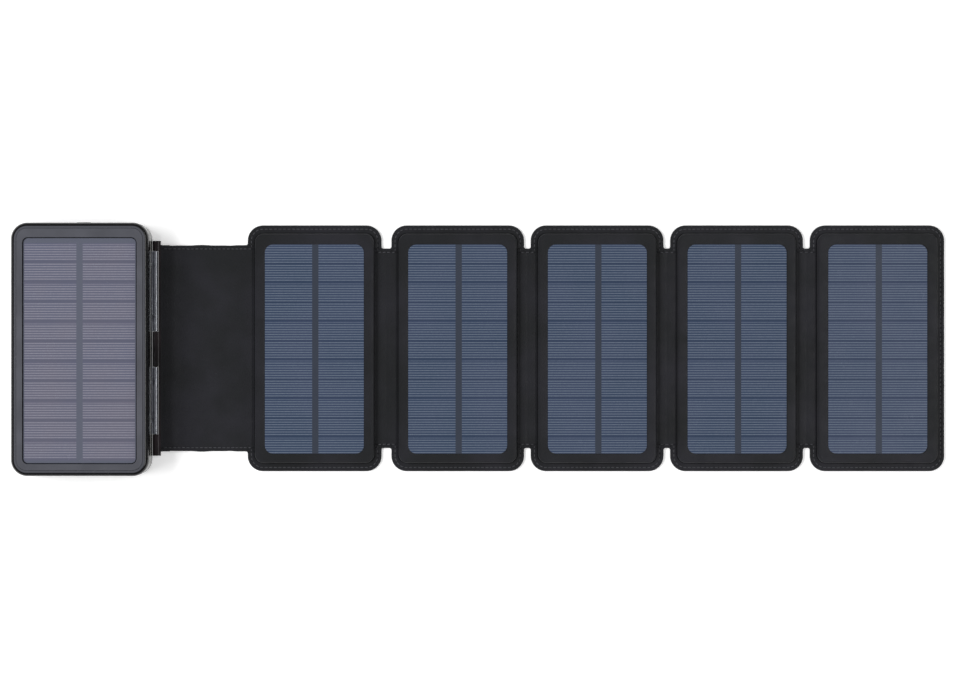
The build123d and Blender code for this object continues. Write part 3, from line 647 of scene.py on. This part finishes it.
def strip_mesh(name, columns, half_at, lift_at, dip_at, leather):
    """A leatherette strip with rolled, sewn long edges, across the given X columns."""
    middle = [2 * (i + 1) / (MIDDLE_ROWS + 1) - 1 for i in range(MIDDLE_ROWS)]
    points = []
    for x in columns:
        half, lift, dip = half_at(x), lift_at(x), dip_at(x)
        low_side = [(-half + d, top, under) for d, top, under in EDGE_ROWS]
        inner = half - EDGE_ROWS[-1][0]
        between = [(share * inner, leather_t, 0.0) for share in middle]
        high_side = [(half - d, top, under) for d, top, under in reversed(EDGE_ROWS)]
        section = low_side + between + high_side
        for y, top, _ in section:
            wave = WAVE * ripple(x, y) * smooth((inner - abs(y)) / WAVE_FADE)
            sink = dip * smooth((half - abs(y)) / DIP_FADE)
            points.append((x, strip_y + y, top + lift + wave - sink))
        for y, _, under in reversed(section):
            points.append((x, strip_y + y, under + lift))
    size = 2 * (2 * len(EDGE_ROWS) + MIDDLE_ROWS)
    faces = [tuple(range(size))]
    for c in range(len(columns) - 1):
        for i in range(size):
            j = (i + 1) % size
            faces.append((c * size + i, (c + 1) * size + i, (c + 1) * size + j, c * size + j))
    faces.append(tuple((len(columns) - 1) * size + i for i in reversed(range(size))))
    piece = new_mesh(name, points, faces, leather)
    recalculate_normals(piece)
    return piece


FOOT_IN = RAISED_SIDE - 0.5  # the rim gives way to a strip this far inside a panel's edge
TUCK = 0.5  # the notch's round starts this far inside a panel's edge
END_OVERLAP = 0.05  # a strip goes this far past the end of its place
CREASE_IN = 0.5  # the crease at a strip's end is this far in from it


def spread(low, high, count):
    """Evenly spaced values, with both ends."""
    return [low + (high - low) * i / (count - 1) for i in range(count)]


def notch(x, edge, side, half):
    """Half length of a strip near a panel's edge, with the small round in the notch."""
    away = (x - edge) * side
    if -TUCK <= away <= NOTCH_R:
        reach = max(0.0, NOTCH_R - max(away, 0.0))
        return half + NOTCH_R - math.sqrt(NOTCH_R ** 2 - reach ** 2)
    return half


def crease(x, places, depth=0.16, width=0.7):
    """Soft grooves where the leatherette has been folded."""
    return sum(depth * math.exp(-((x - place) / width) ** 2) for place in places)


def notch_columns(edge, side):
    """Where a strip has columns to follow the notch's round."""
    return [edge - side * TUCK, edge, edge + side * 0.12, edge + side * 0.35, edge + side * 0.75,
            edge + side * NOTCH_R]


def fold_strip(k, leather):
    """The strip between panel k and the next."""
    left, right = panel_edges(k)[1], panel_edges(k + 1)[0]
    start, end = left - FOOT_IN, right + FOOT_IN
    columns = spread(start - END_OVERLAP, end + END_OVERLAP, 25)
    columns = unique(columns + notch_columns(left, 1) + notch_columns(right, -1))
    creases = (start + CREASE_IN, (left + right) / 2, end - CREASE_IN)

    def half_at(x):
        return max(notch(x, left, 1, FOLD_HALF), notch(x, right, -1, FOLD_HALF))

    piece = strip_mesh(f"fold_strip_{k}_{k + 1}", columns, half_at, lambda x: 0.0,
                       lambda x: crease(x, creases), leather)
    return piece, start, end


def unique(values, apart=0.1):
    """The values in order, without those that follow another too closely."""
    kept = []
    for value in sorted(values):
        if not kept or value - kept[-1] > apart:
            kept.append(value)
    return kept


FLAP_SPLIT = 5.6  # the bending part of the flap starts this far before the fold line
RAIL_FLANGE_T = 0.5  # thickness of the hinge rail's flange, which the flap's edge lies on
SEAT_RISE = box_mm("hinge_rail")[0].z + RAIL_FLANGE_T
SEAT_END, SEAT_SLOPE = 13.3, 7.5  # where the flap is down at its usual height, and over what length
STEADY = 6  # the flap's sewn edge stops wandering this far before the panel, over as long a way
NOTCH_ZONE = 2  # the notch's round is looked for from this far before the panel
RAIL_CREASE_IN, RAIL_CREASE_DEPTH = 1.2, 0.1


def flap_lift(x):
    """The flap's edge lies on the hinge rail's flange."""
    return SEAT_RISE * smooth((rail_x + SEAT_END - x) / SEAT_SLOPE)


def flap_edge(x):
    """The sewn edge of the flap wanders a little."""
    return flap_half + 0.16 * math.sin(x * 0.21) + 0.1 * math.sin(x * 0.47 + 1.0) - 0.1


def flap_pieces(leather):
    """The flap's flat part, and the part that bends, with the places where it starts and ends."""
    split = joint_x("panel_1_fold") - FLAP_SPLIT
    edge = panel_edges(1)[0]
    end = edge + FOOT_IN

    def half_at(x):
        wander = smooth((edge - STEADY - x) / STEADY)
        free = wander * flap_edge(x) + (1 - wander) * flap_half
        return max(free, notch(x, edge, -1, flap_half)) if x > edge - NOTCH_ZONE else free

    def crease_at(x):
        return crease(x, (end - CREASE_IN,)) * (x > split + 1)

    flap = strip_mesh("flap_leatherette", spread(rail_x, split, 48), half_at, flap_lift,
                      lambda x: crease(x, (rail_x + RAIL_CREASE_IN,), RAIL_CREASE_DEPTH), leather)
    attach(flap, "flap")
    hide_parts("flap_back_cover", "flap_front_cover")
    columns = unique(spread(split, end + END_OVERLAP, 30) + notch_columns(edge, -1))
    fold = strip_mesh("flap_fold", columns, half_at, lambda x: 0.0, crease_at, leather)
    return flap, fold, split, end


# ---------------------------------------------------------------- stitches
STITCH_PITCH, STITCH_LENGTH, STITCH_W, STITCH_H = 2.8, 2.15, 0.3, 0.2
STITCH_RINGS, STITCH_SIDES = 5, 6
TIP_GIRTH, TIP_SINK = 0.45, 0.16  # how thin a stitch gets towards its ends, and how deep it dives
SEAM_IN = 2.35  # from a sewn edge to its seam
THREAD_SINK = 0.14  # how far the middle of a stitch on top lies below the leather
UNDER_RISE = 0.33  # how far one on the underside lies above the bottom of the leather


def stitch(place, along, up, length, thread_points, thread_faces):
    """One stitch: a short, plump length of thread that dives into the leather at both ends."""
    along = Vector(along).normalized()
    up = Vector(up)
    side = up.cross(along)
    base = len(thread_points)
    for i in range(STITCH_RINGS):
        t = math.pi * (i + 0.5) / STITCH_RINGS
        reach, girth = -math.cos(t) * length / 2, math.sin(t)
        centre = Vector(place) + along * reach + up * (TIP_SINK * girth - TIP_SINK)
        for j in range(STITCH_SIDES):
            a = 2 * math.pi * j / STITCH_SIDES
            offset = side * math.cos(a) * STITCH_W + up * math.sin(a) * STITCH_H
            thread_points.append(tuple(centre + offset * (TIP_GIRTH + (1 - TIP_GIRTH) * girth)))
    ends = [[base + i * STITCH_SIDES + j for j in range(STITCH_SIDES)] for i in range(STITCH_RINGS)]
    for near, far in zip(ends, ends[1:]):
        for j in range(STITCH_SIDES):
            k = (j + 1) % STITCH_SIDES
            thread_faces.append((near[j], near[k], far[k], far[j]))
    thread_faces.append(tuple(reversed(ends[0])))
    thread_faces.append(tuple(ends[-1]))


def sew(name, paths, height_at, thread):
    """Stitches along paths of (x, y) points, on the top and on the underside."""
    draw = random.Random(name)
    points, faces = [], []
    for path in paths:
        spans = list(zip(path, path[1:]))
        total = sum(math.dist(a, b) for a, b in spans)
        count = max(1, round(total / STITCH_PITCH))
        for n in range(count):
            x, y, heading = walk(spans, total * (n + 0.5) / count)
            turn = heading + draw.uniform(-0.07, 0.07)
            along = (math.cos(turn), math.sin(turn), 0)
            length = STITCH_LENGTH * draw.uniform(0.93, 1.05)
            top = height_at(x)
            stitch((x, y, top - THREAD_SINK), along, (0, 0, 1), length, points, faces)
            stitch((x, y, top - leather_t + UNDER_RISE), along, (0, 0, -1), length, points, faces)
    return new_mesh(name, points, faces, thread, 80)


def walk(spans, distance):
    """The place and heading at a distance along a path."""
    for (ax, ay), (bx, by) in spans:
        step = math.dist((ax, ay), (bx, by))
        if distance <= step:
            t = distance / step
            return ax + (bx - ax) * t, ay + (by - ay) * t, math.atan2(by - ay, bx - ax)
        distance -= step
    (ax, ay), (bx, by) = spans[-1]
    return bx, by, math.atan2(by - ay, bx - ax)


def corner_path(cx, cy, r, start, stop):
    """Points along an arc, from one angle to another."""
    angles = [math.radians(angle) for angle in spread(start, stop, 11)]
    return [(cx + r * math.cos(t), cy + r * math.sin(t)) for t in angles]


def panel_paths(k):
    """The seam round a panel: over its top and under its bottom, between the fold strips."""
    left, right = panel_edges(k)
    left_half = flap_half if k == 1 else FOLD_HALF
    x0, x1, y1 = left + SEAM_IN, right - SEAM_IN, panel_half_l - SEAM_IN
    r = PANEL_R - SEAM_IN
    upper = [(x0, left_half - SEAM_IN)] + corner_path(x0 + r, y1 - r, r, 180, 90)
    upper += corner_path(x1 - r, y1 - r, r, 90, 0)
    if k < PANELS[-1]:
        upper.append((x1, FOLD_HALF - SEAM_IN))
        halves = [upper, [(x, -y) for x, y in upper]]
    else:
        halves = [upper + [(x, -y) for x, y in reversed(upper)]]
    return [[(x, strip_y + y) for x, y in path] for path in halves]


def strip_paths(start, end, half):
    """The two seams along a strip's long edges."""
    return [[(start, strip_y + s * (half - SEAM_IN)), (end, strip_y + s * (half - SEAM_IN))]
            for s in (-1, 1)]


FLAP_SEAM_IN = 1.5  # the flap's seams start this far from its edge at the hinge


def level(x):
    """The height of the leather where it lies flat."""
    return leather_t


def make_panel_covers(leather, thread):
    covers = {k: panel_cover(k, leather) for k in PANELS}
    for k, cover in covers.items():
        seam = sew(f"panel_{k}_stitches", panel_paths(k), level, thread)
        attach(seam, f"panel_{k}")
        left, right = panel_edges(k)
    return covers


def make_fold_strips(leather, thread):
    for k in PANELS[:-1]:
        strip, start, end = fold_strip(k, leather)
        inner = panel_edges(k)[1] - SEAM_IN, panel_edges(k + 1)[0] + SEAM_IN
        seam = sew(f"fold_strip_{k}_{k + 1}_stitches", strip_paths(*inner, FOLD_HALF), level, thread)
        bend(strip, seam)


def make_flap(leather, thread):
    flap, fold, split, end = flap_pieces(leather)
    seam = sew("flap_stitches", strip_paths(rail_x + FLAP_SEAM_IN, split, flap_half),
               lambda x: leather_t + flap_lift(x), thread)
    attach(seam, "flap")
    seam = sew("flap_fold_stitches", strip_paths(split, panel_edges(1)[0] + SEAM_IN, flap_half),
               level, thread)
    bend(fold, seam)


def bend(strip, seam):
    """A strip and its stitches keep the place they were made in: their transforms are baked into their meshes."""
    for piece in (strip, seam):
        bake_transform(piece)


make_camera()
make_studio()
make_floor()
finishes = make_materials()
dress_cad(finishes)
leatherette, black_thread = finishes["black_leatherette"], material_thread()
panel_covers = make_panel_covers(leatherette, black_thread)
make_fold_strips(leatherette, black_thread)
make_flap(leatherette, black_thread)
